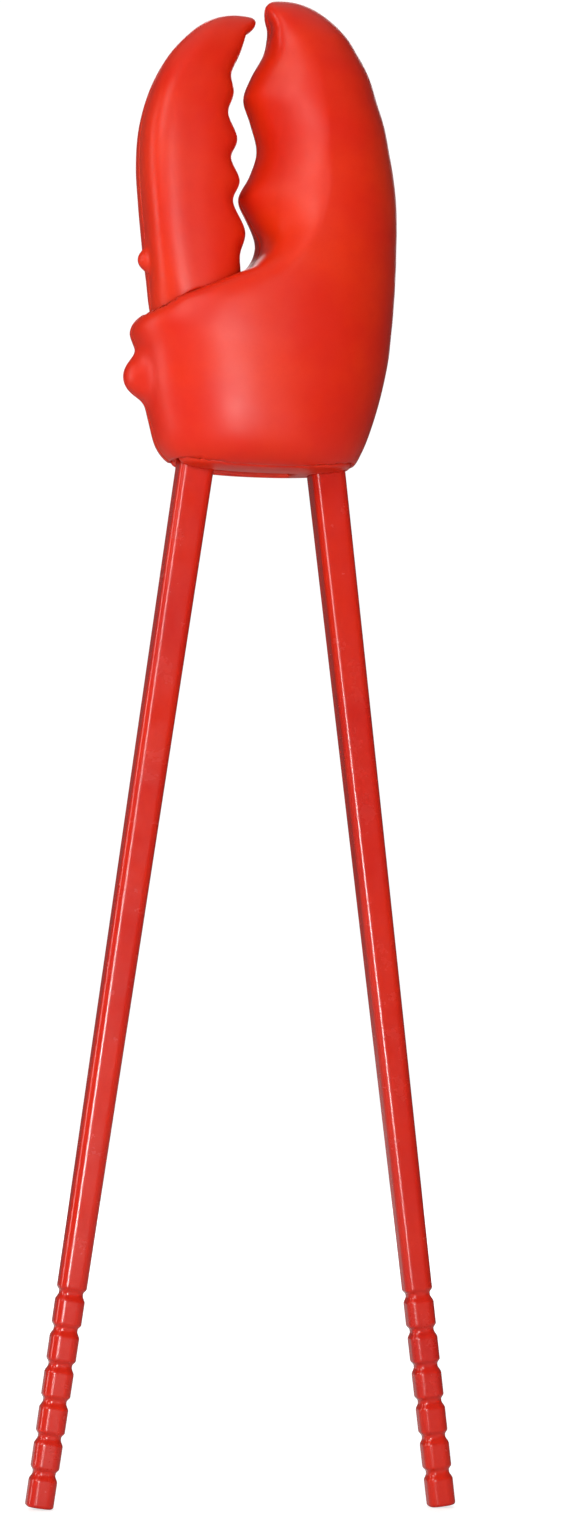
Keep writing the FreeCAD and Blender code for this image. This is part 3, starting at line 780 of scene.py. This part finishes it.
def stage():
    """A pale floor that runs on to the horizon, and a bright even surround."""
    build = bmesh.new()
    bmesh.ops.create_grid(build, x_segments=2, y_segments=2, size=6.0)
    mesh = bpy.data.meshes.new("floor")
    build.to_mesh(mesh)
    build.free()
    floor = bpy.data.objects.new("floor", mesh)
    floor.location = (0, 0, -0.00005)
    bpy.context.scene.collection.objects.link(floor)
    material, tree, shader = new_material("floor_white")
    tone = mixed(tree, remap(tree, noise(tree, 1.5, 2), 0, 1), (0.60, 0.60, 0.60, 1),
                 (0.63, 0.63, 0.63, 1))
    tree.links.new(tone, shader.inputs["Base Color"])
    shader.inputs["Roughness"].default_value = 0.8
    shader.inputs["Emission Color"].default_value = (1, 1, 1, 1)
    coords = tree.nodes.new("ShaderNodeTexCoord")
    reach = tree.nodes.new("ShaderNodeVectorMath")
    reach.operation = "LENGTH"
    tree.links.new(coords.outputs["Object"], reach.inputs[0])
    glow = remap(tree, reach.outputs["Value"], FLOOR_NEAR, FLOOR_FAR, 0.15, 1.3)
    path = tree.nodes.new("ShaderNodeLightPath")
    seen = tree.nodes.new("ShaderNodeMath")
    seen.operation = "MULTIPLY"
    tree.links.new(glow, seen.inputs[0])
    tree.links.new(path.outputs["Is Camera Ray"], seen.inputs[1])
    tree.links.new(seen.outputs["Value"], shader.inputs["Emission Strength"])
    mesh.materials.append(material)
    world = bpy.data.worlds.new("surround")
    world.use_nodes = True
    tree = world.node_tree
    plain = tree.nodes["Background"]
    plain.inputs["Strength"].default_value = SURROUND
    white = tree.nodes.new("ShaderNodeBackground")
    for node in (plain, white):
        node.inputs["Color"].default_value = (1, 1, 1, 1)
    white.inputs["Strength"].default_value = 1.05
    path = tree.nodes.new("ShaderNodeLightPath")
    mix = tree.nodes.new("ShaderNodeMixShader")
    tree.links.new(path.outputs["Is Camera Ray"], mix.inputs[0])
    tree.links.new(plain.outputs[0], mix.inputs[1])
    tree.links.new(white.outputs[0], mix.inputs[2])
    tree.links.new(mix.outputs[0], tree.nodes["World Output"].inputs["Surface"])
    bpy.context.scene.world = world
    bpy.context.scene.view_settings.view_transform = "Standard"


# ------------------------------------------------------------------ building
# Mesh spacing in millimetres.
PALM_STEP = 0.42
FINGER_STEP = 0.36
PLATE_STEP = 0.3


def build_head():
    front = surface_mesh("palm_front", palm_shell(-1),
                         (-23.5, -14.0, 164.4), (22.5, 0.6, 241.4), PALM_STEP)
    back = surface_mesh("palm_back", palm_shell(1),
                        (-23.5, -0.6, 164.4), (22.5, 14.0, 241.4), PALM_STEP)
    plate = surface_mesh("base_insert", plate_field,
                         (-15.4, -8.8, 164.4), (15.4, 8.8, 168.2), PLATE_STEP)
    finish_piece(front, claw_plastic, HEAD, "claw_plastic", "palm_front_shell")
    finish_piece(back, claw_plastic, HEAD, "claw_plastic", "palm_back_shell")
    finish_piece(plate, claw_plastic, HEAD, "claw_plastic", "base_plate")


def build_finger():
    front = surface_mesh("finger_front", finger_shell(-1),
                         (-22.0, -8.8, 184.0), (-0.5, 0.6, 239.4), FINGER_STEP)
    back = surface_mesh("finger_back", finger_shell(1),
                        (-22.0, -0.6, 184.0), (-0.5, 8.8, 239.4), FINGER_STEP)
    finish_piece(front, claw_plastic, LEVER, "claw_plastic", "finger_front_shell")
    finish_piece(back, claw_plastic, LEVER, "claw_plastic", "finger_back_shell")


def build_sticks():
    left = stick("moving_stick", -1)
    right = stick("fixed_stick", 1)
    finish_piece(left, stick_plastic, LEVER, "stick_plastic", "left_stick")
    finish_piece(right, stick_plastic, HEAD, "stick_plastic", "right_stick")


def build_spring():
    """Wound wire of the spring, fixed leg, coil and moving leg, in steel, in place of the CAD spring."""
    piece = tube("spring_wire", spring_path(), WIRE_RADIUS)
    piece.data.materials.append(metal)
    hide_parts("torsion_spring")
    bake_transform(piece)


def dress_frame():
    """Procedural finishes for the CAD nodes that stay."""
    finishes = {
        "lever_arm": inner_plastic, "fixed_stick_socket": inner_plastic,
        "pivot_pin": metal, "palm_screws": metal,
        "finger_screws": metal, "left_stick_pin": metal, "right_stick_pin": metal,
        "pivot_washers": washer_plastic,
    }
    for node, material in finishes.items():
        slots = frame["nodes"][node].data.materials
        slots.clear()
        slots.append(material)


add_camera()
stage()
# name, place, what it points at, width and height, watts, colour
area_light("front_low", (-0.11, -0.63, 0.05), (0, 0, 0.17), (0.09, 0.14), 2.0)
area_light("front_high", (-0.11, -0.63, 0.27), (0, 0, 0.18), (0.08, 0.20), 0.9)
area_light("left_strip", (-0.75, 0.05, 0.25), (0, 0, 0.17), (0.12, 0.6), 1.6)
area_light("key", (-0.75, -0.75, 0.70), (0, 0, 0.15), (0.5, 0.5), 4.6, (1.0, 0.97, 0.92))
area_light("top", (0.0, 0.1, 1.1), (0, 0, 0.0), (1.2, 1.2), 2.2)
area_light("back", (0.25, 0.9, 0.55), (0, 0, 0.13), (0.5, 0.5), 3.0)
build_head()
build_finger()
build_sticks()
build_spring()
dress_frame()
